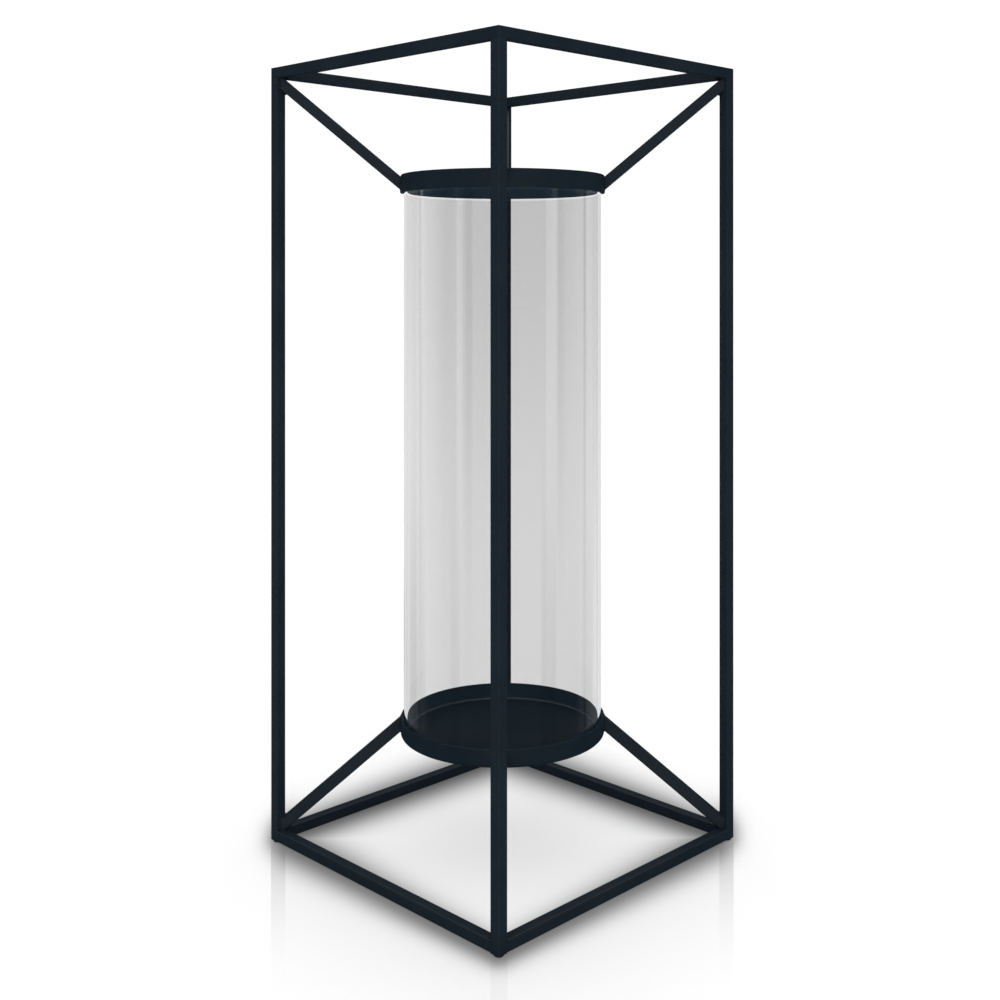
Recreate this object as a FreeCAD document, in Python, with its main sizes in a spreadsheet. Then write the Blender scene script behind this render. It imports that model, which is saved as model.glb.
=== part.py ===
import FreeCAD, Part
import math
import os

import Sketcher
from FreeCAD import Placement, Rotation, Vector

# Hurricane candle lantern: a tall square cage of welded square tube. A ring and a
# tray hang in the middle of it on diagonal struts, and a clear glass cylinder
# stands in the tray with its upper end inside the ring.
#
# Frame: origin on the floor under the centre of the cage, +Z up, the sides of the
# cage parallel to X and Y, front is -Y, right is +X. Millimetres.

doc = FreeCAD.newDocument("hurricane_candle_lantern")

# ---------------------------------------------------------------- dimensions
# Driving dimensions: alias, value, note.
SIZES = [
    ("side", 254.0, "outer side of the square cage"),
    ("frame_height", 597.0, "underside of the bottom rails to the top of the top rails"),
    ("tube_width", 8.2, "outer width of the painted square tube"),
    ("tube_wall", 1.0, "wall of the square tube"),
    ("edge_radius", 1.0, "outer corner radius of the square tube"),
    ("foot_height", 1.5, "part of a foot glide below the post"),
    ("foot_width", 7.0, "diameter of a foot glide's head"),
    ("foot_chamfer", 0.5, "chamfer round both ends of a foot glide"),
    ("foot_stem", 6.0, "diameter of a foot glide's stem inside the post"),
    ("foot_stem_length", 9.0, "length of a foot glide's stem"),
    ("band_od", 157.4, "outside diameter of the ring and of the tray"),
    ("band_wall", 1.2, "sheet thickness of the ring and of the tray"),
    ("band_height", 13.6, "height of the ring and of the tray"),
    ("band_edge", 0.4, "rounding of the sheet edges"),
    ("ring_bottom", 501.5, "underside of the ring above the floor"),
    ("tray_bottom", 84.5, "underside of the tray above the floor"),
    ("tray_bend", 2.4, "outer bend radius between the tray's floor and wall"),
    ("glass_od", 152.4, "outside diameter of the glass cylinder"),
    ("glass_wall", 2.5, "wall of the glass cylinder"),
    ("glass_height", 425.0, "height of the glass cylinder"),
    ("glass_edge", 1.0, "rounding of the melted glass rims"),
    ("upper_band_level", 509.0, "upper strut's axis at the ring's outer face"),
    ("upper_post_level", 584.0, "upper strut's axis at the post's inner corner"),
    ("lower_band_level", 90.8, "lower strut's axis at the tray's outer face"),
    ("lower_post_level", 14.9, "lower strut's axis at the post's inner corner"),
    ("over", 12.0, "extra stock that the trimming cuts remove"),
]

# Derived dimensions: alias, formula, note. A formula may use any alias above it.
DERIVED = [
    ("half_tube", "tube_width / 2", "tube's axis to its outer face"),
    ("half_bore", "half_tube - tube_wall", "tube's axis to its inner face"),
    ("half_flat", "half_tube - edge_radius", "tube's axis to where a corner's arc starts"),
    ("post_middle", "side / 2 - half_tube", "centre of the cage to a tube's axis"),
    ("post_length", "frame_height - tube_width", "posts end under the top rails"),
    ("bottom_rail_length", "side - 2 * tube_width", "gap between two posts"),
    ("frame_top", "foot_height + frame_height", "top of the cage above the floor"),
    ("top_rail_level", "frame_top - half_tube", "axis of the top rails"),
    ("bottom_rail_level", "foot_height + half_tube", "axis of the bottom rails"),
    ("mitre_arc_x", "side / 2 - edge_radius", "centre of the frame corner's arc"),
    ("mitre_tip_x", "side / 2 - edge_radius * (1 - cos(45))", "mitre's end on that arc, along"),
    ("mitre_tip_y", "half_tube - edge_radius * (1 - cos(45))", "mitre's end on that arc, across"),
    ("mitre_inner_x", "side / 2 - tube_width - over", "mitre line's end inside the frame"),
    ("mitre_outer_x", "side / 2 + over", "end of the mitre cut beyond the rail"),
    ("mitre_side_y", "half_tube + over", "edge of the mitre cut beside the rail"),
    ("trim_depth", "4 * tube_width", "depth of the cuts through one tube"),
    ("band_radius", "band_od / 2", "outer radius of the ring and of the tray"),
    ("band_bore", "band_radius - band_wall", "inner radius of the ring and of the tray"),
    ("tray_inner_bend", "tray_bend - band_wall", "inner bend radius of the tray"),
    ("glass_radius", "glass_od / 2", "outer radius of the glass"),
    ("glass_bore", "glass_radius - glass_wall", "inner radius of the glass"),
    ("glass_bottom", "tray_bottom + band_wall", "glass stands on the tray's floor"),
    ("corner_reach", "(side / 2 - tube_width) * sqrt(2)", "centre to a post's inner corner"),
    ("strut_middle", "(band_radius + corner_reach) / 2", "centre to a strut's middle"),
    ("upper_middle_level", "(upper_band_level + upper_post_level) / 2", "upper strut's middle"),
    ("lower_middle_level", "(lower_band_level + lower_post_level) / 2", "lower strut's middle"),
    ("upper_slope", "atan((upper_post_level - upper_band_level) / (corner_reach - band_radius))",
     "rise of an upper strut on its way out"),
    ("lower_slope", "atan((lower_post_level - lower_band_level) / (corner_reach - band_radius))",
     "rise of a lower strut on its way out"),
    ("upper_strut_length", "(corner_reach - band_radius) / cos(upper_slope) + 2 * over",
     "upper strut before trimming"),
    ("lower_strut_length", "(corner_reach - band_radius) / cos(lower_slope) + 2 * over",
     "lower strut before trimming"),
    ("notch_side", "3 * over", "half width and depth of the notch cut"),
    ("notch_far", "corner_reach + notch_side", "outer side of the notch cut"),
    ("cope_depth", "2 * (frame_height + over)", "depth of the cope and notch cut"),
    ("flush_near", "corner_reach - over", "inner end of the flush cut"),
    ("flush_far", "corner_reach + over", "outer end of the flush cut"),
    ("upper_flush", "frame_top - tube_width", "underside of the top rails"),
    ("upper_flush_end", "upper_flush + over", "far side of the upper flush cut"),
    ("lower_flush", "foot_height + tube_width", "top of the bottom rails"),
    ("lower_flush_end", "lower_flush - over", "far side of the lower flush cut"),
    ("foot_radius", "foot_width / 2", "radius of a glide's head"),
    ("foot_tip_radius", "foot_radius - foot_chamfer", "radius where the glide meets the floor"),
    ("stem_radius", "foot_stem / 2", "radius of a glide's stem"),
    ("stem_tip_radius", "stem_radius - foot_chamfer", "radius of the stem's top face"),
    ("stem_top", "foot_height + foot_stem_length", "top of a glide's stem"),
    ("stem_shoulder", "stem_top - foot_chamfer", "lower edge of the stem's chamfer"),
]

sheet = doc.addObject("Spreadsheet::Sheet", "dims")
rows = [(alias, repr(number), note) for alias, number, note in SIZES]
rows += [(alias, "=" + formula, note) for alias, formula, note in DERIVED]
for row, (alias, content, note) in enumerate(rows, start=1):
    sheet.set("A%d" % row, alias)
    sheet.set("B%d" % row, content)
    sheet.set("C%d" % row, note)
    sheet.setAlias("B%d" % row, alias)
doc.recompute()
NUMBERS = {alias: float(sheet.get(alias)) for alias, _, _ in rows}

# Sides: name, angle that turns a rail's outer face (local +Y) outward, signs of x and y.
SIDES = [("front", 180, 0, -1), ("right", 270, 1, 0), ("rear", 0, 0, 1), ("left", 90, -1, 0)]
# Corners: name, angle of the diagonal that runs out to it, signs of x and y.
CORNERS = [
    ("front_right", 315, 1, -1),
    ("rear_right", 45, 1, 1),
    ("rear_left", 135, -1, 1),
    ("front_left", 225, -1, -1),
]
START, END, CENTRE = 1, 2, 3  # Sketcher's numbers for the points of a line or an arc
X_AXIS, Y_AXIS = -1, -2  # Sketcher's numbers for a sketch's axes

parts = []


# ------------------------------------------------------------------- helpers
# Everywhere below a size is given as an alias, with "-" in front to negate it.
# None stands for zero, unbound.
def value(size):
    if size is None:
        return 0.0
    number = NUMBERS[size.lstrip("-")]
    return -number if size.startswith("-") else number


def expression(size):
    sign = "-" if size.startswith("-") else ""
    return sign + "dims." + size.lstrip("-")


def new_body(name):
    body = doc.addObject("PartDesign::Body", name)
    body.Label = name
    parts.append(body)
    return body


def place(body, angle=0, x_sign=0, y_sign=0, level=None):
    """Turn a body about Z and move it to a tube's axis and a level, bound to the sheet."""
    reach = value("post_middle")
    base = Vector(x_sign * reach, y_sign * reach, value(level))
    body.Placement = Placement(base, Rotation(Vector(0, 0, 1), angle))
    for axis, sign in (("x", x_sign), ("y", y_sign)):
        if sign:
            body.setExpression("Placement.Base." + axis, "%d * dims.post_middle" % sign)
    if level:
        body.setExpression("Placement.Base.z", expression(level))


def new_sketch(body, role, name):
    plane = [feature for feature in body.Origin.OriginFeatures if feature.Role == role][0]
    sketch = body.newObject("Sketcher::SketchObject", body.Name + "_" + name)
    sketch.AttachmentSupport = [(plane, "")]
    sketch.MapMode = "FlatFace"
    return sketch


def add_line(sketch, start, end):
    ends = [Vector(value(x), value(y), 0) for x, y in (start, end)]
    return sketch.addGeometry(Part.LineSegment(*ends), False)


def add_arc(sketch, centre, radius, start, end):
    x, y = centre
    circle = Part.Circle(Vector(value(x), value(y), 0), Vector(0, 0, 1), value(radius))
    arc = Part.ArcOfCircle(circle, math.radians(start), math.radians(end))
    return sketch.addGeometry(arc, False)


def fix_distance(sketch, kind, geo, point, size):
    """Hold a point by its DistanceX or DistanceY from the sketch origin."""
    constraint = Sketcher.Constraint(kind, X_AXIS, START, geo, point, value(size))
    index = sketch.addConstraint(constraint)
    sketch.setExpression("Constraints[%d]" % index, expression(size))


def fix_radius(sketch, geo, size):
    index = sketch.addConstraint(Sketcher.Constraint("Radius", geo, value(size)))
    sketch.setExpression("Constraints[%d]" % index, expression(size))


def fix_point(sketch, geo, point, x, y):
    for kind, size, zero_axis in (("DistanceX", x, Y_AXIS), ("DistanceY", y, X_AXIS)):
        if size is None:
            sketch.addConstraint(Sketcher.Constraint("PointOnObject", geo, point, zero_axis))
        else:
            fix_distance(sketch, kind, geo, point, size)


def join(sketch, kind, geo_a, point_a, geo_b, point_b):
    sketch.addConstraint(Sketcher.Constraint(kind, geo_a, point_a, geo_b, point_b))


def chain(sketch, points):
    """Straight lines from point to point, joined end to start."""
    lines = [add_line(sketch, a, b) for a, b in zip(points, points[1:])]
    for a, b in zip(lines, lines[1:]):
        join(sketch, "Coincident", a, END, b, START)
    return lines


def polygon(sketch, points):
    """Closed wire of straight lines with every corner held."""
    lines = chain(sketch, points + points[:1])
    join(sketch, "Coincident", lines[-1], END, lines[0], START)
    for geo, (x, y) in zip(lines, points):
        fix_point(sketch, geo, START, x, y)


def tube_section(sketch):
    """Square tube about the sketch origin: rounded outside, square bore."""
    flat, face = "half_flat", "half_tube"
    bottom = add_line(sketch, ("-" + flat, "-" + face), (flat, "-" + face))
    right = add_line(sketch, (face, "-" + flat), (face, flat))
    upper = add_line(sketch, (flat, face), ("-" + flat, face))
    left = add_line(sketch, ("-" + face, flat), ("-" + face, "-" + flat))
    bottom_right = add_arc(sketch, (flat, "-" + flat), "edge_radius", 270, 360)
    top_right = add_arc(sketch, (flat, flat), "edge_radius", 0, 90)
    top_left = add_arc(sketch, ("-" + flat, flat), "edge_radius", 90, 180)
    bottom_left = add_arc(sketch, ("-" + flat, "-" + flat), "edge_radius", 180, 270)
    loop = [bottom, bottom_right, right, top_right, upper, top_left, left, bottom_left]
    for a, b in zip(loop, loop[1:] + loop[:1]):
        join(sketch, "Tangent", a, END, b, START)
    sketch.addConstraint(Sketcher.Constraint("Horizontal", bottom))
    sketch.addConstraint(Sketcher.Constraint("Vertical", right))
    for corner in (top_right, top_left, bottom_left):
        sketch.addConstraint(Sketcher.Constraint("Equal", bottom_right, corner))
    fix_distance(sketch, "DistanceX", right, START, face)
    fix_distance(sketch, "DistanceX", left, START, "-" + face)
    fix_distance(sketch, "DistanceY", upper, START, face)
    fix_distance(sketch, "DistanceY", bottom, START, "-" + face)
    fix_radius(sketch, bottom_right, "edge_radius")

    bore = "half_bore"
    polygon(sketch, [("-" + bore, "-" + bore), (bore, "-" + bore), (bore, bore), ("-" + bore, bore)])


def add_feature(body, kind, sketch, name):
    feature = body.newObject("PartDesign::" + kind, body.Name + "_" + name)
    feature.Profile = sketch
    sketch.Visibility = False
    return feature


def pad(body, sketch, length, name, symmetric=False):
    feature = add_feature(body, "Pad", sketch, name)
    feature.setExpression("Length", expression(length))
    if symmetric:
        feature.SideType = "Symmetric"
    doc.recompute()


def pocket(body, sketch, depth, name):
    """Cut both ways from the sketch plane, and make sure that it removed something."""
    before = body.Shape.Volume
    feature = add_feature(body, "Pocket", sketch, name)
    feature.SideType = "Symmetric"
    feature.setExpression("Length", expression(depth))
    doc.recompute()
    if not body.Shape.Volume < before - 0.01:
        raise RuntimeError("%s cut nothing: %s, %s" % (feature.Name, feature.State, sketch.State))


def revolve(body, points, name):
    """Turn a closed profile in the XZ plane once round Z."""
    profile = new_sketch(body, "XZ_Plane", "profile")
    polygon(profile, points)
    feature = add_feature(body, "Revolution", profile, name)
    feature.ReferenceAxis = (profile, ["V_Axis"])
    feature.Angle = 360.0
    doc.recompute()
    return feature


def is_circle(edge, radius, level, tolerance=1e-4):
    """True for a level circle of this radius about Z."""
    curve = edge.Curve
    return (isinstance(curve, Part.Circle)
            and abs(curve.Radius - value(radius)) < tolerance
            and abs(curve.Center.z - value(level)) < tolerance
            and abs(curve.Axis.z) > 0.999)


def round_edges(body, base, radius, name, circles):
    """Fillet the circular edges given as (radius, level)."""
    edges = ["Edge%d" % number for number, edge in enumerate(base.Shape.Edges, start=1)
             if any(is_circle(edge, *circle) for circle in circles)]
    if not edges:
        raise RuntimeError("%s found no edges" % name)
    feature = body.newObject("PartDesign::Fillet", body.Name + "_" + name)
    feature.Base = (base, edges)
    feature.setExpression("Radius", expression(radius))
    doc.recompute()
    return feature


# ------------------------------------------------------------------- posts
def make_post(name, x_sign, y_sign):
    """Upright tube from its foot to the underside of the top frame."""
    body = new_body(name)
    section = new_sketch(body, "XY_Plane", "section")
    tube_section(section)
    pad(body, section, "post_length", "tube")
    place(body, 0, x_sign, y_sign, "foot_height")


# ------------------------------------------------------------------- rails
def new_rail(name, length):
    """Tube along local X, centred on the origin."""
    body = new_body(name)
    section = new_sketch(body, "YZ_Plane", "section")
    tube_section(section)
    pad(body, section, length, "tube", symmetric=True)
    return body


def draw_mitre(sketch, mirror, start, end, tip_end, flat_end):
    """Waste at one end of a top rail; mirror is "-" for the -X end."""
    centre = (mirror + "mitre_arc_x", "half_flat")
    arc = add_arc(sketch, centre, "edge_radius", start, end)
    inner, outer = mirror + "mitre_inner_x", mirror + "mitre_outer_x"
    tip, flat = mirror + "mitre_tip_x", mirror + "mitre_arc_x"
    mitre, near, far, back, drop = chain(sketch, [
        (tip, "mitre_tip_y"),
        (inner, "-mitre_side_y"),
        (outer, "-mitre_side_y"),
        (outer, "mitre_side_y"),
        (flat, "mitre_side_y"),
        (flat, "half_tube"),
    ])
    join(sketch, "Coincident", drop, END, arc, flat_end)
    join(sketch, "Coincident", mitre, START, arc, tip_end)
    fix_point(sketch, arc, CENTRE, *centre)
    fix_radius(sketch, arc, "edge_radius")
    fix_distance(sketch, "DistanceX", arc, tip_end, tip)
    sketch.addConstraint(Sketcher.Constraint("Vertical", drop))
    fix_distance(sketch, "DistanceX", drop, END, flat)
    fix_point(sketch, near, START, inner, "-mitre_side_y")
    fix_point(sketch, far, START, outer, "-mitre_side_y")
    fix_point(sketch, back, START, outer, "mitre_side_y")
    fix_distance(sketch, "DistanceY", drop, START, "mitre_side_y")


def make_top_rail(name, angle, x_sign, y_sign):
    """Mitred at both ends, with the frame's corner dressed to the tube's corner radius."""
    body = new_rail(name, "side")
    cut = new_sketch(body, "XY_Plane", "mitre")
    draw_mitre(cut, "", 45, 90, tip_end=START, flat_end=END)
    draw_mitre(cut, "-", 90, 135, tip_end=END, flat_end=START)
    pocket(body, cut, "trim_depth", "mitres")
    place(body, angle, x_sign, y_sign, "top_rail_level")


def make_bottom_rail(name, angle, x_sign, y_sign):
    """Cut square, butted between two posts."""
    body = new_rail(name, "bottom_rail_length")
    place(body, angle, x_sign, y_sign, "bottom_rail_level")


# ------------------------------------------------------------------ struts
def make_strut(end, corner_name, angle):
    """Sloping tube from the ring ("upper") or the tray ("lower") out to a post.

    It lies in the vertical plane through one diagonal, local X being the way out. It is
    coped to the round band at one end, notched over the post's inner corner at the
    other, and trimmed flush with the rails where they meet there.
    """
    body = new_body("%s_strut_%s" % (end, corner_name))
    middle_level, slope = end + "_middle_level", end + "_slope"
    section = new_sketch(body, "YZ_Plane", "section")
    section.AttachmentOffset = Placement(
        Vector(0, value(middle_level), value("strut_middle")),
        Rotation(Vector(1, 0, 0), -value(slope)))
    section.setExpression("AttachmentOffset.Base.y", expression(middle_level))
    section.setExpression("AttachmentOffset.Base.z", expression("strut_middle"))
    section.setExpression("AttachmentOffset.Rotation.Angle", "-1 * " + expression(slope))
    tube_section(section)
    pad(body, section, end + "_strut_length", "tube", symmetric=True)

    ends = new_sketch(body, "XY_Plane", "ends")
    disc = Part.Circle(Vector(0, 0, 0), Vector(0, 0, 1), value("band_radius"))
    cope = ends.addGeometry(disc, False)
    join(ends, "Coincident", cope, CENTRE, X_AXIS, START)
    fix_radius(ends, cope, "band_radius")
    polygon(ends, [("corner_reach", None), ("notch_far", "notch_side"), ("notch_far", "-notch_side")])
    pocket(body, ends, "cope_depth", "cope_and_notch")

    flush = new_sketch(body, "XZ_Plane", "flush")
    face, far_side = end + "_flush", end + "_flush_end"
    polygon(flush, [("flush_near", face), ("flush_far", face),
                    ("flush_far", far_side), ("flush_near", far_side)])
    pocket(body, flush, "trim_depth", "flush_with_rails")
    place(body, angle)


# ------------------------------------------------------ ring, tray and glass
def make_shade_ring():
    """Plain band, open above and below, that holds the glass upright."""
    body = new_body("shade_ring")
    corners = [("band_bore", None), ("band_radius", None),
               ("band_radius", "band_height"), ("band_bore", "band_height")]
    band = revolve(body, corners, "band")
    round_edges(body, band, "band_edge", "edges", corners)
    place(body, level="ring_bottom")


def make_candle_tray():
    """Shallow pressed pan as wide as the ring, with a bend between floor and wall."""
    body = new_body("candle_tray")
    rim = [("band_radius", "band_height"), ("band_bore", "band_height")]
    inner_corner = ("band_bore", "band_wall")
    outer_corner = ("band_radius", None)
    pan = revolve(body, [(None, None), outer_corner, *rim, inner_corner, (None, "band_wall")], "pan")
    bend = round_edges(body, pan, "tray_bend", "outer_bend", [outer_corner])
    bend = round_edges(body, bend, "tray_inner_bend", "inner_bend", [inner_corner])
    round_edges(body, bend, "band_edge", "rim", rim)
    place(body, level="tray_bottom")


def make_glass_shade():
    """Open cylinder that stands on the tray's floor; both rims are melted round."""
    body = new_body("glass_shade")
    corners = [("glass_bore", None), ("glass_radius", None),
               ("glass_radius", "glass_height"), ("glass_bore", "glass_height")]
    cylinder = revolve(body, corners, "cylinder")
    round_edges(body, cylinder, "glass_edge", "rims", corners)
    place(body, level="glass_bottom")


# -------------------------------------------------------------------- feet
def make_foot(name, x_sign, y_sign):
    """Turned glide: the head carries the post and the stem sits in its open end."""
    body = new_body(name)
    revolve(body, [
        (None, None),
        ("foot_tip_radius", None),
        ("foot_radius", "foot_chamfer"),
        ("foot_radius", "foot_height"),
        ("stem_radius", "foot_height"),
        ("stem_radius", "stem_shoulder"),
        ("stem_tip_radius", "stem_top"),
        (None, "stem_top"),
    ], "glide")
    place(body, 0, x_sign, y_sign)


# ------------------------------------------------------------------- build
for name, _, x_sign, y_sign in CORNERS:
    make_post("post_" + name, x_sign, y_sign)
for name, angle, x_sign, y_sign in SIDES:
    make_top_rail("top_rail_" + name, angle, x_sign, y_sign)
for name, angle, x_sign, y_sign in SIDES:
    make_bottom_rail("bottom_rail_" + name, angle, x_sign, y_sign)
for end in ("upper", "lower"):
    for name, angle, _, _ in CORNERS:
        make_strut(end, name, angle)
make_shade_ring()
make_candle_tray()
make_glass_shade()
for name, _, x_sign, y_sign in CORNERS:
    make_foot("foot_" + name, x_sign, y_sign)

# ------------------------------------------------------------------- check
doc.recompute()
for obj in doc.Objects:
    if "Invalid" in obj.State or "Error" in obj.State:
        raise RuntimeError("%s is %s" % (obj.Name, obj.State))
for body in parts:
    shape = body.Shape
    if shape.isNull() or not shape.isValid() or len(shape.Solids) != 1 or shape.Volume <= 0:
        raise RuntimeError("%s has a bad shape" % body.Label)

# ------------------------------------------------------------------- write
os.makedirs("parts", exist_ok=True)
for body in parts:
    body.Shape.exportStep("parts/%s.step" % body.Label)
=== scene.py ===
import math
import random

import bmesh
import bpy
from mathutils import Matrix, Vector, noise


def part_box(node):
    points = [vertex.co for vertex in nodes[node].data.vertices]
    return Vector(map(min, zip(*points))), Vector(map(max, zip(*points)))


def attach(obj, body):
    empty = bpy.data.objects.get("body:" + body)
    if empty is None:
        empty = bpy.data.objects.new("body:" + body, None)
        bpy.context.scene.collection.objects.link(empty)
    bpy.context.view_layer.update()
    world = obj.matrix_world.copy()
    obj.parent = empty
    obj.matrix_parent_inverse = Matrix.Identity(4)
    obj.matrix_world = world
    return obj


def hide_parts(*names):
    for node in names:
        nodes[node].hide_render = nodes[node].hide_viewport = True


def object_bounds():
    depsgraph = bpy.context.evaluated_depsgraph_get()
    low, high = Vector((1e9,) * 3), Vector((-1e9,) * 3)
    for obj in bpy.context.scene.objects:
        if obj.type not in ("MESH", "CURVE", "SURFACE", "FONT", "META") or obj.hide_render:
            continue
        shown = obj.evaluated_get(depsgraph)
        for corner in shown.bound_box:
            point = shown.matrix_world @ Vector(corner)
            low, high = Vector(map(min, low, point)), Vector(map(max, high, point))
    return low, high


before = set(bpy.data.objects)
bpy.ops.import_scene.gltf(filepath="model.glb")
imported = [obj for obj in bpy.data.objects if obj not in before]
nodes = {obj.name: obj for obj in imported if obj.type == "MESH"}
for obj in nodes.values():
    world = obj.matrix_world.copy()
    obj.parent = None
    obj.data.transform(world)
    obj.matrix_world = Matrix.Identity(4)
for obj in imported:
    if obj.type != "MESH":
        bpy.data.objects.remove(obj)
cad_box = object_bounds()
scene = bpy.context.scene
MM = 0.001

# --------------------------------------------------------------- CAD figures
post_lo, post_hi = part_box("post_front_right")
rail_lo, rail_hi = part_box("top_rail_front")
floor_rail_lo, floor_rail_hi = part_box("bottom_rail_front")
ring_lo, ring_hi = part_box("shade_ring")
tray_lo, tray_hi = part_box("candle_tray")
glass_lo, glass_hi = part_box("glass_shade")
half = cad_box[1].x                       # half the cage's side
bar = post_hi.x - post_lo.x               # width of the tube
inner = half - bar                        # inner faces of the posts
corner = inner * math.sqrt(2)             # inner corner of a post, along the diagonal
band_r = ring_hi.x                        # outer radius of the ring and the tray
rail_under = rail_lo.z
floor_rail_top = floor_rail_hi.z


# ------------------------------------------------------------- node helpers
class Nodes:
    """A small wrapper that keeps shader graphs readable."""

    def __init__(self, tree):
        self.tree = tree
        tree.nodes.clear()

    def add(self, kind, **settings):
        n = self.tree.nodes.new(kind)
        for key, value in settings.items():
            setattr(n, key, value)
        return n

    def link(self, a, b):
        self.tree.links.new(a, b)

    def value(self, v):
        n = self.add("ShaderNodeValue")
        n.outputs[0].default_value = v
        return n.outputs[0]

    def put(self, socket, v):
        if isinstance(v, bpy.types.NodeSocket):
            self.link(v, socket)
        else:
            socket.default_value = v

    def math(self, op, a, b=0.0, c=0.0, clamp=False):
        n = self.add("ShaderNodeMath", operation=op, use_clamp=clamp)
        for k, v in enumerate((a, b, c)):
            self.put(n.inputs[k], v)
        return n.outputs[0]

    def step(self, x, lo, hi, to_lo=0.0, to_hi=1.0, kind="SMOOTHSTEP"):
        n = self.add("ShaderNodeMapRange", interpolation_type=kind)
        n.clamp = True
        for k, v in enumerate((x, lo, hi, to_lo, to_hi)):
            self.put(n.inputs[k], v)
        return n.outputs[0]

    def mix(self, fac, a, b):
        n = self.add("ShaderNodeMix", data_type="RGBA")
        self.put(n.inputs[0], fac)
        self.put(n.inputs[6], a)
        self.put(n.inputs[7], b)
        return n.outputs[2]

    def noise(self, vector, scale, detail=2.0, rough=0.5):
        n = self.add("ShaderNodeTexNoise")
        self.put(n.inputs["Vector"], vector)
        n.inputs["Scale"].default_value = scale
        n.inputs["Detail"].default_value = detail
        n.inputs["Roughness"].default_value = rough
        return n.outputs["Fac"]

    def bump(self, height, strength, distance, normal=None):
        n = self.add("ShaderNodeBump")
        n.inputs["Strength"].default_value = strength
        n.inputs["Distance"].default_value = distance
        self.put(n.inputs["Height"], height)
        if normal is not None:
            self.link(normal, n.inputs["Normal"])
        return n.outputs["Normal"]


def new_material(name):
    m = bpy.data.materials.new(name)
    m.use_nodes = True
    return m, Nodes(m.node_tree)


def rgb(r, g, b):
    """Linear colour from 8-bit display values."""
    def lin(c):
        c /= 255.0
        return c / 12.92 if c <= 0.04045 else ((c + 0.055) / 1.055) ** 2.4
    return (lin(r), lin(g), lin(b), 1.0)


# ----------------------------------------------------------------- materials
def powder_coat(name, tone=1.0, rough=0.42, peel=1.0, shine=0.42, fill=0.0):
    """Satin blue-black powder coat: slight orange peel, a fine tooth, faint patches
    where the coat is thicker, and a drier, paler film over the sharpest edges."""
    m, g = new_material(name)
    where = g.add("ShaderNodeTexCoord").outputs["Object"]
    patch = g.noise(where, 22.0, 3.0, 0.6)
    fine = g.noise(where, 900.0, 3.0, 0.6)
    base = g.mix(g.step(patch, 0.3, 0.7), rgb(16 * tone, 31 * tone, 42 * tone), rgb(20 * tone, 35 * tone, 46 * tone))
    point = g.add("ShaderNodeNewGeometry").outputs["Pointiness"]
    worn = g.math("MULTIPLY", g.step(point, 0.53, 0.62), g.step(fine, 0.35, 0.75))
    colour = g.mix(g.math("MULTIPLY", worn, 0.35), base, rgb(40, 49, 56))
    peel_height = g.noise(where, 520.0, 2.0, 0.45)
    tooth = g.noise(where, 2600.0, 1.0, 0.5)
    normal = g.bump(peel_height, 0.16 * peel, 0.00022)
    normal = g.bump(tooth, 0.10 * peel, 0.00005, normal)
    p = g.add("ShaderNodeBsdfPrincipled")
    g.link(colour, p.inputs["Base Color"])
    g.put(p.inputs["Roughness"], g.step(patch, 0.25, 0.75, rough - 0.05, rough + 0.06))
    p.inputs["IOR"].default_value = 1.45
    p.inputs["Specular IOR Level"].default_value = shine
    g.link(normal, p.inputs["Normal"])
    if fill:
        # painted light: a glow on the inward faces of the ring and the tray, standing in for light thrown about inside
        # them, and a painted highlight line where the tray's wall meets its floor
        spot = g.add("ShaderNodeNewGeometry")
        place = g.add("ShaderNodeSeparateXYZ")
        g.link(spot.outputs["Position"], place.inputs[0])
        flat = g.add("ShaderNodeVectorMath", operation="MULTIPLY")
        g.link(spot.outputs["Position"], flat.inputs[0])
        flat.inputs[1].default_value = (1.0, 1.0, 0.0)
        out_dir = g.add("ShaderNodeVectorMath", operation="NORMALIZE")
        g.link(flat.outputs[0], out_dir.inputs[0])
        turned = g.add("ShaderNodeVectorMath", operation="DOT_PRODUCT")
        g.link(out_dir.outputs[0], turned.inputs[0])
        g.link(spot.outputs["Normal"], turned.inputs[1])
        inward = g.step(turned.outputs["Value"], -0.75, -0.35, 1.0, 0.0)
        size = g.add("ShaderNodeVectorMath", operation="LENGTH")
        g.link(flat.outputs[0], size.inputs[0])
        r_in = band_r - 1.2 * MM
        bend_highlight = g.step(size.outputs["Value"], r_in - 2.1 * MM, r_in - 0.9 * MM)
        bend_highlight = g.math("MULTIPLY", bend_highlight, g.step(place.outputs[2], tray_lo.z + 1.7 * MM, tray_lo.z + 2.9 * MM, 1.0, 0.0))
        bend_highlight = g.math("MULTIPLY", bend_highlight, g.step(turned.outputs["Value"], 0.0, 0.1, 1.0, 0.0))
        # the painted glow's colour, paler in the painted highlight at the foot of the tray's wall
        glow = g.mix(bend_highlight, (0.0055, 0.0115, 0.0170, 1.0), (0.0255, 0.0355, 0.0430, 1.0))
        # the painted glow is stronger high up, in the ring, than in the tray
        fill = g.step(place.outputs[2], 0.25, 0.40, fill, 1.9 * fill)
        g.link(glow, p.inputs["Emission Color"])
        g.link(g.math("MULTIPLY", g.math("MAXIMUM", inward, bend_highlight), fill), p.inputs["Emission Strength"])
    out = g.add("ShaderNodeOutputMaterial")
    g.link(p.outputs[0], out.inputs["Surface"])
    return m


def nylon():
    m, g = new_material("foot_nylon")
    where = g.add("ShaderNodeTexCoord").outputs["Object"]
    speck = g.noise(where, 1400.0, 2.0, 0.5)
    p = g.add("ShaderNodeBsdfPrincipled")
    g.link(g.mix(speck, rgb(14, 15, 17), rgb(24, 25, 28)), p.inputs["Base Color"])
    g.put(p.inputs["Roughness"], g.step(speck, 0.2, 0.8, 0.5, 0.68))
    p.inputs["IOR"].default_value = 1.53
    g.link(g.bump(speck, 0.15, 0.0001), p.inputs["Normal"])
    out = g.add("ShaderNodeOutputMaterial")
    g.link(p.outputs[0], out.inputs["Surface"])
    return m


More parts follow.
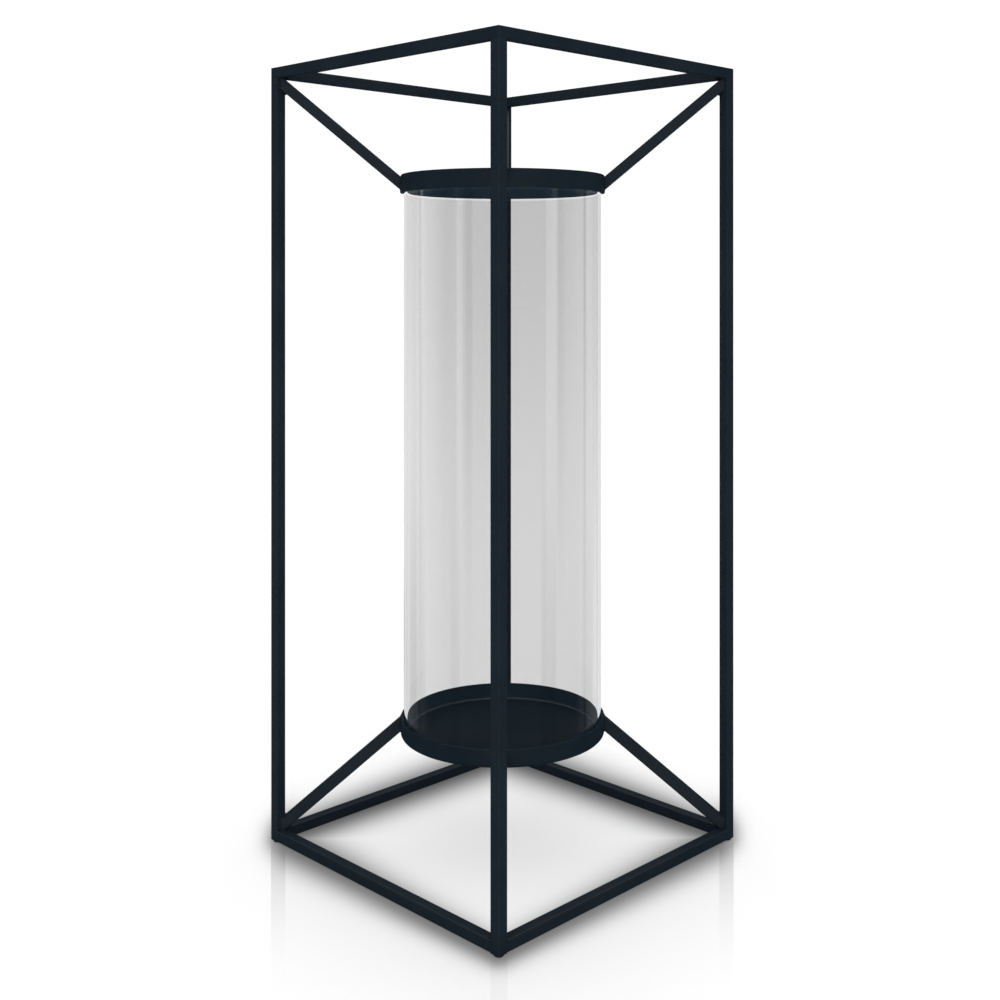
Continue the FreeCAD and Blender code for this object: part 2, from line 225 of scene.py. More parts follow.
def clear_glass():
    """Clear drawn glass, a little grey. Its faint upright streaks are painted reflections in the
    glass's tint: they keep their place across the width of the cylinder as it is seen, like
    the reflections of tall studio lights, and fade towards the foot. Painted shade makes it
    darker near the top, and a painted highlight line runs just under the ring. Lamps pass
    straight through it."""
    m, g = new_material("clear_glass")
    where = g.add("ShaderNodeTexCoord").outputs["Object"]
    geo = g.add("ShaderNodeNewGeometry")
    at = g.add("ShaderNodeSeparateXYZ")
    g.link(geo.outputs["Position"], at.inputs[0])
    to_eye = g.add("ShaderNodeSeparateXYZ")
    g.link(geo.outputs["Incoming"], to_eye.inputs[0])
    px, py = at.outputs[0], at.outputs[1]
    ix, iy = to_eye.outputs[0], to_eye.outputs[1]
    cross = g.math("SUBTRACT", g.math("MULTIPLY", py, ix), g.math("MULTIPLY", px, iy))
    level = g.math("SQRT", g.math("ADD", g.math("MULTIPLY", ix, ix), g.math("MULTIPLY", iy, iy)))
    across = g.math("DIVIDE", cross, g.math("MULTIPLY", g.math("MAXIMUM", level, 0.001), glass_hi.x))   # -1 left edge, 1 right edge
    local = g.add("ShaderNodeSeparateXYZ")
    g.link(where, local.inputs[0])
    height = local.outputs[2]

    def streak(centre, half_width, soft, gain):
        away = g.math("ABSOLUTE", g.math("SUBTRACT", across, centre))
        return g.math("MULTIPLY", g.step(away, half_width - soft, half_width + soft, 1.0, 0.0), gain)

    # painted shade in the glass's tint: less light comes through both walls near the top
    body = g.step(height, 0.20, 0.51, 0.625, 0.500)
    fade = g.step(height, 0.10, 0.47, 0.10, 1.0)
    low = g.math("SUBTRACT", 1.0, g.step(height, 0.12, 0.34))
    # painted reflections: streaks painted into the glass's tint, fading towards the foot, and others low down
    painted_streaks = None
    for items, part in ((PAINTED_STREAKS, fade), (PAINTED_LOW_STREAKS, low)):
        for item in items:
            k = g.math("MULTIPLY", streak(*item), part)
            painted_streaks = k if painted_streaks is None else g.math("ADD", painted_streaks, k)
    # a painted highlight: a light line painted on the wall just under the ring's lower edge, standing in for the light
    # that edge throws
    below = g.math("ABSOLUTE", g.math("SUBTRACT", at.outputs[2], ring_lo.z - 0.9 * MM))
    painted_streaks = g.math("ADD", painted_streaks, g.step(below, 0.5 * MM, 1.1 * MM, 0.8, 0.0))
    through = g.math("MULTIPLY", body, g.math("ADD", painted_streaks, 1.0))
    tint = g.math("POWER", g.math("DIVIDE", through, 0.92), 0.5, clamp=True)
    tint = g.math("MAXIMUM", tint, geo.outputs["Backfacing"])     # only on the way into a wall
    colour = g.add("ShaderNodeCombineColor")
    for k, gain in enumerate((1.0, 1.0, 1.0)):
        g.put(colour.inputs[k], g.math("MULTIPLY", tint, gain))
    stretch = g.add("ShaderNodeMapping")
    stretch.inputs["Scale"].default_value = (1.0, 1.0, 0.10)
    g.link(where, stretch.inputs["Vector"])
    draw = g.noise(stretch.outputs[0], 24.0, 2.0, 0.5)
    # Light bends as in real glass, and is thrown back wholly inside the wall where it must
    # be; the mirror film on its faces is held faint, so that the dark ring and tray show
    # right up to the glass's sides.
    ripple = g.bump(draw, 0.06, 0.002)
    bent = g.add("ShaderNodeBsdfRefraction")
    g.link(colour.outputs[0], bent.inputs["Color"])
    bent.inputs["Roughness"].default_value = 0.0
    bent.inputs["IOR"].default_value = 1.5
    g.link(ripple, bent.inputs["Normal"])
    film = g.add("ShaderNodeBsdfAnisotropic")
    film.inputs["Color"].default_value = (1.0, 1.0, 1.0, 1.0)
    film.inputs["Roughness"].default_value = 0.0
    g.link(ripple, film.inputs["Normal"])
    fresnel = g.add("ShaderNodeFresnel")
    fresnel.inputs["IOR"].default_value = 1.5
    g.link(ripple, fresnel.inputs["Normal"])
    whole = g.step(fresnel.outputs[0], 0.97, 0.995)
    share = g.math("MINIMUM", g.math("MULTIPLY", fresnel.outputs[0], 0.5), 0.03)
    share = g.math("MAXIMUM", share, whole)
    pane = g.add("ShaderNodeMixShader")
    g.link(share, pane.inputs[0])
    g.link(bent.outputs[0], pane.inputs[1])
    g.link(film.outputs[0], pane.inputs[2])
    clear = g.add("ShaderNodeBsdfTransparent")
    clear.inputs["Color"].default_value = (0.95, 0.955, 0.955, 1.0)
    path = g.add("ShaderNodeLightPath")
    lamp = g.math("MAXIMUM", path.outputs["Is Shadow Ray"], path.outputs["Is Diffuse Ray"])
    satin = g.math("SUBTRACT", path.outputs["Is Glossy Ray"], path.outputs["Is Singular Ray"], clamp=True)
    lamp = g.math("MAXIMUM", lamp, satin)
    both = g.add("ShaderNodeMixShader")
    g.link(lamp, both.inputs[0])
    g.link(pane.outputs[0], both.inputs[1])
    g.link(clear.outputs[0], both.inputs[2])
    out = g.add("ShaderNodeOutputMaterial")
    g.link(both.outputs[0], out.inputs["Surface"])
    return m


# painted reflections in the glass's tint, one streak a row: place across the glass, half width, softness, gain
PAINTED_STREAKS = [
    (-0.985, 0.012, 0.006, -0.22),
    (-0.974, 0.010, 0.005, -0.14),
    (0.978, 0.020, 0.006, -0.14),
    (0.987, 0.008, 0.004, -0.14),
    (-0.925, 0.048, 0.020, -0.07),
    (-0.900, 0.240, 0.120, 0.22),
    (-0.950, 0.040, 0.012, 0.04),
    (-0.833, 0.011, 0.007, -0.12),
    (-0.785, 0.014, 0.010, 0.03),
    (-0.440, 0.030, 0.010, 0.12),
    (-0.345, 0.035, 0.015, -0.10),
    (0.500, 0.058, 0.012, 0.11),
    (0.585, 0.040, 0.025, -0.06),
    (0.900, 0.240, 0.120, 0.09),
    (0.833, 0.012, 0.008, -0.18),
    (0.945, 0.035, 0.010, -0.06),
]
PAINTED_LOW_STREAKS = [
    (-0.985, 0.012, 0.006, -0.22),
    (-0.974, 0.010, 0.005, -0.14),
    (0.978, 0.020, 0.006, -0.14),
    (0.987, 0.008, 0.004, -0.06),
    (-0.885, 0.095, 0.035, -0.11),
    (-0.900, 0.240, 0.120, 0.06),
    (-0.905, 0.035, 0.015, -0.11),
    (-0.480, 0.050, 0.030, -0.08),
    (0.470, 0.075, 0.020, -0.10),
    (0.860, 0.050, 0.020, -0.06),
    (0.950, 0.030, 0.010, 0.05),
]
PAINT = powder_coat("powder_coat")
BAND_PAINT = powder_coat("powder_coat_sheet", tone=0.98, rough=0.36, peel=0.8, shine=0.34, fill=1.0)
WELD_PAINT = powder_coat("powder_coat_weld", tone=0.95, rough=0.46, peel=1.4)
NYLON = nylon()
GLASS = clear_glass()

for name, obj in nodes.items():
    use = NYLON if name.startswith("foot_") else BAND_PAINT if name in ("shade_ring", "candle_tray") else PAINT
    obj.data.materials.clear()
    obj.data.materials.append(use)


# ------------------------------------------------------------- mesh helpers
def add_object(name, bm, material, smooth=True):
    mesh = bpy.data.meshes.new(name)
    bmesh.ops.recalc_face_normals(bm, faces=bm.faces)
    bm.to_mesh(mesh)
    bm.free()
    for p in mesh.polygons:
        p.use_smooth = smooth
    mesh.materials.append(material)
    obj = bpy.data.objects.new(name, mesh)
    scene.collection.objects.link(obj)
    return obj


def lathe(name, profile, material, steps=256):
    """Turn a closed profile of (radius, height) points about the Z axis."""
    bm = bmesh.new()
    rings = []
    for k in range(steps):
        a = 2 * math.pi * k / steps
        rings.append([bm.verts.new((r * math.cos(a), r * math.sin(a), z)) for r, z in profile])
    n = len(profile)
    for k in range(steps):
        a, b = rings[k], rings[(k + 1) % steps]
        for j in range(n):
            i = (j + 1) % n
            bm.faces.new((a[j], a[i], b[i], b[j]))
    return add_object(name, bm, material)


def fillet_corner(cx, cz, r, a0, a1, n):
    return [(cx + r * math.cos(math.radians(a0 + (a1 - a0) * k / n)),
             cz + r * math.sin(math.radians(a0 + (a1 - a0) * k / n))) for k in range(n + 1)]


# --------------------------------------------------------------------- glass
# The cylinder is turned finely, because glass shows every facet. Its rims are melted round.
g_out = glass_hi.x
g_in = g_out - 2.5 * MM
edge = 1.0 * MM
z0, z1 = glass_lo.z, glass_hi.z
prof = []
prof += fillet_corner(g_out - edge, z0 + edge, edge, -90, 0, 7)
for k in range(1, 40):
    prof.append((g_out, z0 + edge + (z1 - z0 - 2 * edge) * k / 40))
prof += fillet_corner(g_out - edge, z1 - edge, edge, 0, 90, 7)
prof += fillet_corner(g_in + edge, z1 - edge, edge, 90, 180, 7)
for k in range(39, 0, -1):
    prof.append((g_in, z0 + edge + (z1 - z0 - 2 * edge) * k / 40))
prof += fillet_corner(g_in + edge, z0 + edge, edge, 180, 270, 7)
glass_piece = lathe("glass_cylinder", prof, GLASS, 320)
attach(glass_piece, "glass")
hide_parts("glass_shade")


# --------------------------------------------------------------------- welds
# Every joint of the cage is a small bead under the paint. A bead is swept along its
# seam with ripples, and lies half inside the tubes that it joins.
def bead(bm, path, radius, seed, closed=False, ripple=0.18, sides=10):
    rnd = random.Random(seed)
    pts = [Vector(p) for p in path]
    # resample to even steps
    if closed:
        pts = pts + [pts[0]]
    total = sum((pts[k + 1] - pts[k]).length for k in range(len(pts) - 1))
    count = max(6, int(total / (0.45 * MM)))
    out = []
    for s in range(count + (0 if closed else 1)):
        want = total * s / count
        k, gone = 0, 0.0
        while k < len(pts) - 2 and gone + (pts[k + 1] - pts[k]).length < want:
            gone += (pts[k + 1] - pts[k]).length
            k += 1
        seg = pts[k + 1] - pts[k]
        f = (want - gone) / seg.length if seg.length > 1e-12 else 0.0
        out.append(pts[k] + seg * f)
    n = len(out)
    # smooth the corners a little
    for _ in range(2):
        new = []
        for k in range(n):
            a = out[(k - 1) % n] if closed or k > 0 else out[k]
            b = out[(k + 1) % n] if closed or k < n - 1 else out[k]
            new.append((a + out[k] * 2 + b) / 4)
        out = new
    phase = rnd.uniform(0, 6.28)
    rings = []
    frame_n = None
    for k in range(n):
        a = out[(k - 1) % n] if closed or k > 0 else out[k]
        b = out[(k + 1) % n] if closed or k < n - 1 else out[k]
        t = (b - a).normalized()
        if frame_n is None:
            up = Vector((0, 0, 1)) if abs(t.z) < 0.9 else Vector((1, 0, 0))
            frame_n = (up - t * up.dot(t)).normalized()
        else:
            frame_n = (frame_n - t * frame_n.dot(t)).normalized()
        side = t.cross(frame_n)
        along = total * k / n
        r = radius * (1.0 + ripple * (0.5 * math.sin(along / (0.55 * MM) + phase) + 0.8 * noise.noise(Vector((along / (1.7 * MM), seed * 1.31, 0.0)))))
        if not closed:
            ends = min(k, n - 1 - k)
            r *= min(1.0, 0.25 + 0.3 * ends)
        rings.append([bm.verts.new(out[k] + (frame_n * math.cos(2 * math.pi * j / sides) + side * math.sin(2 * math.pi * j / sides)) * r) for j in range(sides)])
    last = n if closed else n - 1
    for k in range(last):
        a, b = rings[k], rings[(k + 1) % n]
        for j in range(sides):
            i = (j + 1) % sides
            bm.faces.new((a[j], a[i], b[i], b[j]))
    if not closed:
        bm.faces.new(list(reversed(rings[0])))
        bm.faces.new(rings[-1])


def blob(bm, centre, radii, turn, seed):
    """A small lump of weld metal, flattened and a little uneven."""
    ret = bmesh.ops.create_uvsphere(bm, u_segments=20, v_segments=12, radius=1.0)
    for v in ret["verts"]:
        d = v.co.normalized()
        k = 1.0 + 0.16 * noise.noise(d * 1.7 + Vector((seed * 3.1, 0, 0)))
        v.co = Vector(centre) + turn @ Vector((d.x * radii[0] * k, d.y * radii[1] * k, d.z * radii[2] * k))


def diagonal_points(angle, pts):
    """(u, v, z) with u along the diagonal and v across it, into the row frame."""
    a = math.radians(angle)
    c, s = math.cos(a), math.sin(a)
    return [Vector((u * c - v * s, u * s + v * c, z)) for u, v, z in pts]


CORNERS = [("front_right", 315.0), ("rear_right", 45.0), ("rear_left", 135.0), ("front_left", 225.0)]
hw = bar / 2
seed = 0
for tag, angle in CORNERS:
    rot = Matrix.Rotation(math.radians(angle), 3, "Z")
    for level in ("upper", "lower"):
        lo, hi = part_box("%s_strut_%s" % (level, tag))
        up = level == "upper"
        # the strut's slope and the height of its axis at the band
        if up:
            band_z, slope = 0.5090, (0.5840 - 0.5090) / (corner - band_r)
        else:
            band_z, slope = 0.0908, (0.0149 - 0.0908) / (corner - band_r)
        dz = hw * math.sqrt(1 + slope * slope)      # half the strut's height, measured upright

        def edge_z(u, sign):
            return band_z + slope * (u - band_r) + sign * dz

        bm = bmesh.new()
        # round the strut's end on the band
        loop = []
        for v, sgn0, sgn1 in ((-hw, -1, 1), (hw, 1, -1)):
            for q in range(9):
                f = q / 8
                sg = sgn0 + (sgn1 - sgn0) * f
                u = math.sqrt(band_r ** 2 - v * v)
                loop.append((u + 0.15 * MM, v, edge_z(u, sg * 0.97)))
            for q in range(1, 8):
                vv = v + (-v - v) * q / 8
                u = math.sqrt(band_r ** 2 - vv * vv)
                loop.append((u + 0.15 * MM, vv, edge_z(u, sgn1 * 0.97)))
        seed += 1
        bead(bm, diagonal_points(angle, loop), 0.62 * MM, seed, closed=True)
        # a heavier run where the strut meets the band's free edge
        low_u = band_r - 0.1 * MM
        if up:
            blob(bm, diagonal_points(angle, [(band_r - 0.6 * MM, 0.2 * MM, ring_lo.z + 1.1 * MM)])[0], (1.4 * MM, 3.2 * MM, 1.5 * MM), rot, seed)
        else:
            blob(bm, diagonal_points(angle, [(band_r - 0.05 * MM, -0.2 * MM, edge_z(band_r, 1) - 0.2 * MM)])[0], (0.9 * MM, 2.2 * MM, 1.0 * MM), rot, seed)
        # where the strut sits on the post's inner corner
        tip = corner + hw
        far = -1 if up else 1
        seam = [(tip - 0.1 * MM, -hw, edge_z(tip, -far) * 0 + (min(edge_z(tip, 1), rail_under) if up else max(edge_z(tip, -1), floor_rail_top)))]
        seam += [(tip - 0.1 * MM, -hw, edge_z(tip, far)), (corner - 0.05 * MM, 0.0, edge_z(corner, far)), (tip - 0.1 * MM, hw, edge_z(tip, far))]
        seam += [(tip - 0.1 * MM, hw, (min(edge_z(tip, 1), rail_under) if up else max(edge_z(tip, -1), floor_rail_top)))]
        seed += 1
        bead(bm, diagonal_points(angle, seam), 0.75 * MM, seed)
        # a fill in the sharp corner between the strut and the post
        blob(bm, diagonal_points(angle, [(corner + 0.2 * MM, 0.0, edge_z(corner + 0.2 * MM, far) + (0.2 if up else -0.2) * MM)])[0],
             (1.3 * MM, 2.0 * MM, 1.5 * MM), rot, seed + 50)
        # where the strut runs under, or onto, the rails
        zz = rail_under if up else floor_rail_top
        near = corner - hw
        seam = [(near, -hw, zz), (corner - 0.2 * MM, -0.15 * MM, zz), (near, hw, zz)]
        seed += 1
        bead(bm, diagonal_points(angle, seam), 0.6 * MM, seed)
        w = add_object("weld_%s_strut_%s" % (level, tag), bm, WELD_PAINT)
        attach(w, "frame")

# Posts to rails: dressed flush outside, a small bead left in each inner corner.
for tag, sx, sy in (("front_right", 1, -1), ("rear_right", 1, 1), ("rear_left", -1, 1), ("front_left", -1, -1)):
    bm = bmesh.new()
    r_fill = 0.95 * MM
    deep = half - 0.93 * MM
    top_z, low_z = rail_under, floor_rail_top
    # top joint, outer faces
    seed += 1
    bead(bm, [(sx * deep, sy * (inner + 0.9 * MM), top_z), (sx * deep, sy * deep, top_z), (sx * (inner + 0.9 * MM), sy * deep, top_z)], r_fill, seed, ripple=0.03)
    # top joint, inner faces
    bead(bm, [(sx * inner, sy * (half - 1.0 * MM), top_z), (sx * inner, sy * inner, top_z), (sx * (half - 1.0 * MM), sy * inner, top_z)], 0.6 * MM, seed + 100)
    # bottom joints: upright seams between the post and each rail
    a0, a1 = post_lo.z + 0.7 * MM, low_z
    for along_x in (True, False):
        def put(p, q, z):
            return (sx * p, sy * q, z) if along_x else (sx * q, sy * p, z)
        # outer face
        bead(bm, [put(inner, deep, a0 + 0.2 * MM), put(inner, deep, a1 - 0.9 * MM)], r_fill, seed + 200, ripple=0.03)
        # over the top of the rail
        bead(bm, [put(inner, inner + 0.3 * MM, a1), put(inner, deep, a1 - 0.15 * MM)], 0.6 * MM, seed + 300)
    w = add_object("weld_corner_%s" % tag, bm, WELD_PAINT)
    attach(w, "frame")


# -------------------------------------------------------------------- camera
# The view looks level at the lantern with the lens shifted down, so that its uprights
# stay parallel.
SIDE = 0.254
PSI = -0.00984
D, OX, CZ = 4.03206 * SIDE, 0.09764 * SIDE, 1.71884 * SIDE + 0.0015
F_PX, PX, PY = 1320.23, 534.66, 275.16
az = math.radians(45) + PSI
back = Vector((math.sin(az), -math.cos(az), 0))
right = Vector((math.cos(az), math.sin(az), 0))
cam_at = back * D + right * OX + Vector((0, 0, CZ))
cam_data = bpy.data.cameras.new("camera")
cam_data.sensor_width = 36.0
cam_data.lens = F_PX / 1000.0 * 36.0
cam = bpy.data.objects.new("camera", cam_data)
scene.collection.objects.link(cam)
cam.location = cam_at
cam.rotation_mode = "QUATERNION"
cam.rotation_quaternion = (-back).to_track_quat("-Z", "Y")
scene.camera = cam
SHIFT_X, SHIFT_Y = -(PX - 500.0) / 1000.0, -(500.0 - PY) / 1000.0


def shift_driver(path, amount):
    """The lens is shifted only where the camera stands for this view: any other view of
    the same camera looks straight at the object."""
    d = cam_data.driver_add(path).driver
    d.type = "SCRIPTED"
    for k, axis in enumerate("XYZ"):
        v = d.variables.new()
        v.name = "p" + axis.lower()
        v.type = "TRANSFORMS"
        v.targets[0].id = cam
        v.targets[0].transform_type = "LOC_" + axis
        v.targets[0].transform_space = "WORLD_SPACE"
    d.expression = "%.6f if abs(px - %.6f) + abs(py - %.6f) + abs(pz - %.6f) < 0.001 else 0.0" % (
        amount, cam_at.x, cam_at.y, cam_at.z)


shift_driver("shift_x", SHIFT_X)
shift_driver("shift_y", SHIFT_Y)

# --------------------------------------------------------------------- studio
scene.view_settings.view_transform = "Standard"
scene.view_settings.look = "None"
scene.view_settings.exposure = 0.0
scene.view_settings.gamma = 1.0


def build_world():
    """A white studio that turns with the camera. The eye and the light on the lantern
    meet even white. The glass's mirror film meets a dim room with a white backdrop behind
    the lantern and a few tall lights; the satin paint meets the dim room with a soft light
    above and a weak one at the camera."""
    world = bpy.data.worlds.new("studio")
    scene.world = world
    world.use_nodes = True
    g = Nodes(world.node_tree)
    path = g.add("ShaderNodeLightPath")
    d = g.add("ShaderNodeTexCoord").outputs["Generated"]
    sep = g.add("ShaderNodeSeparateXYZ")
    g.link(d, sep.inputs[0])
    x, y, z = sep.outputs
    flat = g.math("MAXIMUM", g.math("SQRT", g.math("ADD", g.math("MULTIPLY", x, x), g.math("MULTIPLY", y, y))), 0.0001)
    # the camera's right-hand side in the world; it is level, since the camera never rolls
    turn = g.add("ShaderNodeVectorTransform", vector_type="VECTOR", convert_from="CAMERA", convert_to="WORLD")
    turn.inputs[0].default_value = (1.0, 0.0, 0.0)
    side = g.add("ShaderNodeSeparateXYZ")
    g.link(turn.outputs[0], side.inputs[0])
    rx, ry = side.outputs[0], side.outputs[1]
    to_right = g.math("DIVIDE", g.math("ADD", g.math("MULTIPLY", x, rx), g.math("MULTIPLY", y, ry)), flat)
    to_eye = g.math("DIVIDE", g.math("SUBTRACT", g.math("MULTIPLY", x, ry), g.math("MULTIPLY", y, rx)), flat)

    def facing(phi):
        """Cosine between a direction's azimuth and one phi degrees to the right of the
        direction of the camera."""
        a = math.radians(phi)
        return g.math("ADD", g.math("MULTIPLY", to_eye, math.cos(a)), g.math("MULTIPLY", to_right, math.sin(a)))

    def strip(phi, half_width, soft, level):
        outer = math.cos(math.radians(half_width + soft))
        innr = math.cos(math.radians(max(half_width - soft, 0.0)))
        return g.math("MULTIPLY", g.step(facing(phi), outer, innr), level)

    # sharp mirrors
    lights = None
    for item in ((-107.0, 1.6, 0.6, 1.6), (64.0, 3.5, 1.0, 0.55), (120.0, 1.5, 0.8, 0.8)):
        k = strip(*item)
        lights = k if lights is None else g.math("ADD", lights, k)
    lights = g.math("MULTIPLY", lights, g.step(z, -0.12, 0.06))
    backdrop = g.step(facing(180.0), 0.10, 0.90, 0.03, 0.98, "LINEAR")
    sharp = g.math("ADD", backdrop, lights)
    sharp = g.math("MAXIMUM", sharp, g.step(z, 0.70, 0.85))
    # satin paint
    satin = g.math("ADD", strip(0.0, 24.0, 16.0, 0.16), 0.03)
    satin = g.math("ADD", satin, g.step(z, 0.55, 0.95, 0.0, 0.9))
    mirror = g.mix(path.outputs["Is Singular Ray"], satin, sharp)

    # what comes straight, or through glass without a reflection, meets the white
    reflected = g.math("MINIMUM", path.outputs["Glossy Depth"], 1.0)
    reflected = g.math("MULTIPLY", reflected, g.math("SUBTRACT", 1.0, path.outputs["Is Diffuse Ray"]))
    value = g.mix(reflected, (WHITE, WHITE, WHITE, 1.0), mirror)
    bg = g.add("ShaderNodeBackground")
    g.link(value, bg.inputs["Color"])
    out = g.add("ShaderNodeOutputWorld")
    g.link(bg.outputs[0], out.inputs["Surface"])


WHITE = 1.04
build_world()


def build_floor():
    """A pale floor that looks polished, lit to the white of the backdrop. The lantern's soft
    shadow on it is partly real occlusion, on the diffuse half of its light, and mostly a
    painted shadow in its colour; its faint mirror image is a painted reflection."""
    bm = bmesh.new()
    bmesh.ops.create_grid(bm, x_segments=1, y_segments=1, size=12.0)
    m, g = new_material("floor")
    where = g.add("ShaderNodeNewGeometry").outputs["Position"]
    # the painted shadow falls a few millimetres away from the camera
    turn = g.add("ShaderNodeVectorTransform", vector_type="VECTOR", convert_from="CAMERA", convert_to="WORLD")
    turn.inputs[0].default_value = (1.0, 0.0, 0.0)
    side = g.add("ShaderNodeSeparateXYZ")
    g.link(turn.outputs[0], side.inputs[0])
    sep = g.add("ShaderNodeSeparateXYZ")
    g.link(where, sep.inputs[0])

    def off_rails(shift):
        """Distance on the floor from the middle line of the bottom rails: inside, outside,
        and how far out past a corner."""
        x = g.math("ADD", sep.outputs[0], g.math("MULTIPLY", side.outputs[1], shift))
        y = g.math("SUBTRACT", sep.outputs[1], g.math("MULTIPLY", side.outputs[0], shift))
        line = half - bar / 2
        qx = g.math("SUBTRACT", g.math("ABSOLUTE", x), line)
        qy = g.math("SUBTRACT", g.math("ABSOLUTE", y), line)
        ax, ay = g.math("MAXIMUM", qx, 0.0), g.math("MAXIMUM", qy, 0.0)
        outside = g.math("SQRT", g.math("ADD", g.math("MULTIPLY", ax, ax), g.math("MULTIPLY", ay, ay)))
        inside = g.math("MINIMUM", g.math("MAXIMUM", qx, qy), 0.0)
        return inside, outside, g.math("MINIMUM", ax, ay)

    def bell(dist, width, depth):
        k = g.math("DIVIDE", dist, width)
        return g.math("MULTIPLY", g.math("EXPONENT", g.math("MULTIPLY", g.math("MULTIPLY", k, k), -1.0)), depth)

    # The painted shadow is wider along the view than across it. Its distance is measured to the
    # four bottom rails in a frame that turns with the camera: (across, near, 0).
    near = g.math("SUBTRACT", g.math("MULTIPLY", sep.outputs[0], side.outputs[1]), g.math("MULTIPLY", sep.outputs[1], side.outputs[0]))
    wide = g.math("ADD", g.math("MULTIPLY", sep.outputs[0], side.outputs[0]), g.math("MULTIPLY", sep.outputs[1], side.outputs[1]))
    spot = g.add("ShaderNodeVectorTransform", vector_type="POINT", convert_from="CAMERA", convert_to="WORLD")
    spot.inputs[0].default_value = (0.0, 0.0, 0.0)
    eye = g.add("ShaderNodeSeparateXYZ")
    g.link(spot.outputs[0], eye.inputs[0])
    eye_far = g.add("ShaderNodeVectorMath", operation="LENGTH")
    g.link(spot.outputs[0], eye_far.inputs[0])
    steep = g.math("DIVIDE", eye.outputs[2], g.math("MAXIMUM", eye_far.outputs["Value"], 0.01))
    line = half - bar / 2
    total = g.math("MULTIPLY", g.math("ADD", side.outputs[0], side.outputs[1]), line)
    apart = g.math("MULTIPLY", g.math("SUBTRACT", side.outputs[0], side.outputs[1]), line)

    def triple(a, b, c=0.0):
        n = g.add("ShaderNodeCombineXYZ")
        for k, v in enumerate((a, b, c)):
            g.put(n.inputs[k], v)
        return n.outputs[0]

    def vector(op, a, b, out=0):
        n = g.add("ShaderNodeVectorMath", operation=op)
        g.put(n.inputs[0], a)
        g.put(n.inputs[3] if op == "SCALE" else n.inputs[1], b)
        return n.outputs[out]

    def minus(v):
        return g.math("MULTIPLY", v, -1.0)

    # corners of the base in that frame, in order round it
    posts = [triple(total, minus(apart)), triple(apart, total), triple(minus(total), apart), triple(minus(apart), minus(total))]
    drift = g.math("ADD", g.step(near, -0.12, 0.12, 0.0076, -0.0010, "LINEAR"), g.step(g.math("ABSOLUTE", wide), 0.158, 0.203, 0.0, 0.035))
    here = triple(wide, g.math("ADD", near, drift))
    across_scale = g.math("DIVIDE", 1.0, g.step(steep, 0.45, 0.90, 0.0120, 0.024))
    along_scale = g.math("DIVIDE", 1.0, g.step(near, -0.18, 0.18, 0.0510, 0.0148, "LINEAR"))
    scale = triple(across_scale, along_scale)
    far_off = None
    for k in range(4):
        a, b = posts[k], posts[(k + 1) % 4]
        ap = vector("MULTIPLY", vector("SUBTRACT", here, a), scale)
        ab = vector("MULTIPLY", vector("SUBTRACT", b, a), scale)
        t = g.math("DIVIDE", vector("DOT_PRODUCT", ap, ab, 1), vector("DOT_PRODUCT", ab, ab, 1), clamp=True)
        miss = vector("LENGTH", vector("SUBTRACT", ap, vector("SCALE", ab, t)), (0.0, 0.0, 0.0), 1)
        far_off = miss if far_off is None else g.math("MINIMUM", far_off, miss)
    inside, outside, past = off_rails(0.0)
    # painted shadow round the bottom rails
    shade = bell(g.math("MAXIMUM", g.math("SUBTRACT", far_off, 0.19), 0.0), 1.0, g.step(near, -0.09, 0.09, 0.755, 0.66, "LINEAR"))
    # painted shade over the floor inside the base, fading out just past the rails
    within = g.step(outside, 0.0, 0.020, 0.037, 0.0)
    shade = g.math("ADD", shade, within)
    light = g.math("SUBTRACT", 1.0, shade)

    # painted reflections: mirror images of the posts painted on the floor, each a faint band that runs towards the
    # camera
    vx, vy = g.math("SUBTRACT", sep.outputs[0], eye.outputs[0]), g.math("SUBTRACT", sep.outputs[1], eye.outputs[1])
    v_len = g.math("MAXIMUM", g.math("SQRT", g.math("ADD", g.math("MULTIPLY", vx, vx), g.math("MULTIPLY", vy, vy))), 0.001)
    image = leftmost = rightmost = None
    for sx, sy in ((1, -1), (1, 1), (-1, 1), (-1, -1)):
        fx = g.math("SUBTRACT", sx * (half - bar / 2), eye.outputs[0])
        fy = g.math("SUBTRACT", sy * (half - bar / 2), eye.outputs[1])
        f_len = g.math("MAXIMUM", g.math("SQRT", g.math("ADD", g.math("MULTIPLY", fx, fx), g.math("MULTIPLY", fy, fy))), 0.001)
        cross = g.math("SUBTRACT", g.math("MULTIPLY", vx, fy), g.math("MULTIPLY", vy, fx))
        signed = g.math("DIVIDE", cross, v_len)       # the miss at the post, in metres
        leftmost = signed if leftmost is None else g.math("MAXIMUM", leftmost, signed)
        rightmost = signed if rightmost is None else g.math("MINIMUM", rightmost, signed)
        off = g.math("ABSOLUTE", signed)
        nearer = g.math("SUBTRACT", f_len, v_len)
        band = g.math("MULTIPLY", g.step(off, bar * 0.62, bar * 0.72, 1.0, 0.0), g.step(nearer, 0.0, 0.004))
        band = g.math("MULTIPLY", band, bell(nearer, 0.105, g.step(f_len, 0.84, 1.0, 0.07, 0.205)))
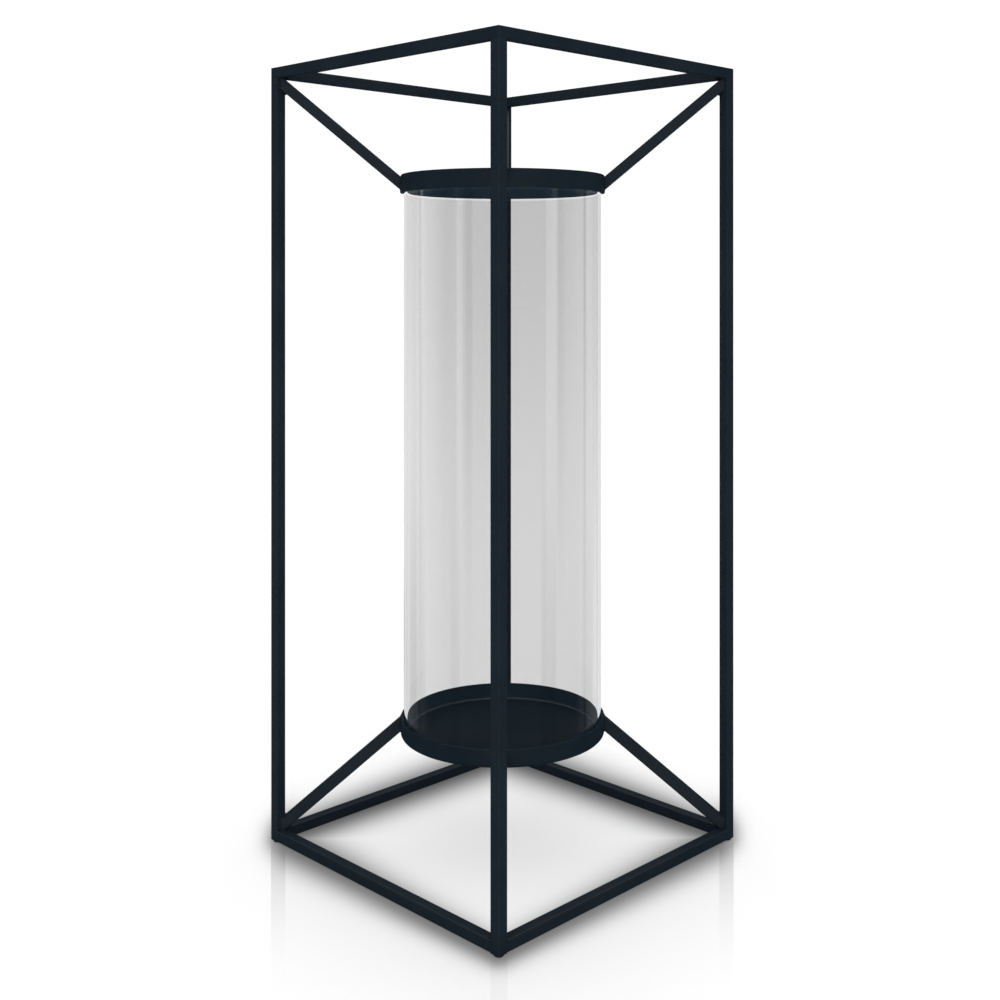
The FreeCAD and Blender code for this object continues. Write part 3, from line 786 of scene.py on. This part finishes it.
        image = band if image is None else g.math("ADD", image, band)
    image = g.math("MULTIPLY", image, g.step(outside, 0.002, 0.012))
    image = g.math("MULTIPLY", image, g.step(steep, 0.50, 0.75, 1.0, 0.0))     # none seen from above
    light = g.math("MULTIPLY", light, g.math("SUBTRACT", 1.0, image))
    # painted reflection: between the outer posts the floor is also darkened as if it mirrored the shaded base, in
    # front of it
    painted_skirt_reflection = g.math("MULTIPLY", g.step(leftmost, -bar * 0.74, -bar * 0.62), g.step(rightmost, bar * 0.62, bar * 0.74, 1.0, 0.0))
    painted_skirt_reflection = g.math("MULTIPLY", painted_skirt_reflection, g.step(near, 0.0, 0.03))
    painted_skirt_reflection = g.math("MULTIPLY", painted_skirt_reflection, g.step(outside, 0.0, 0.006))
    painted_skirt_reflection = g.math("MULTIPLY", painted_skirt_reflection, bell(outside, 0.089, 0.089))
    light = g.math("MULTIPLY", light, g.math("SUBTRACT", 1.0, painted_skirt_reflection))
    colour = g.add("ShaderNodeCombineColor")
    for k in range(3):
        g.put(colour.inputs[k], light)
    diffuse = g.add("ShaderNodeBsdfDiffuse")
    g.link(colour.outputs[0], diffuse.inputs["Color"])
    glow = g.add("ShaderNodeEmission")
    g.link(colour.outputs[0], glow.inputs["Color"])
    glow.inputs["Strength"].default_value = WHITE
    lit = g.add("ShaderNodeMixShader")
    lit.inputs[0].default_value = 0.50
    g.link(diffuse.outputs[0], lit.inputs[1])
    g.link(glow.outputs[0], lit.inputs[2])
    # reflections in the glass meet the room below the horizon too, not the lit floor
    path = g.add("ShaderNodeLightPath")
    reflected = g.math("MULTIPLY", g.math("MINIMUM", path.outputs["Glossy Depth"], 1.0), g.math("SUBTRACT", 1.0, path.outputs["Is Diffuse Ray"]))
    gone = g.add("ShaderNodeBsdfTransparent")
    both = g.add("ShaderNodeMixShader")
    g.link(reflected, both.inputs[0])
    g.link(lit.outputs[0], both.inputs[1])
    g.link(gone.outputs[0], both.inputs[2])
    out = g.add("ShaderNodeOutputMaterial")
    g.link(both.outputs[0], out.inputs["Surface"])
    floor = add_object("floor", bm, m, smooth=False)
    floor.location.z = -0.00005
    floor.visible_glossy = False
    return floor


build_floor()
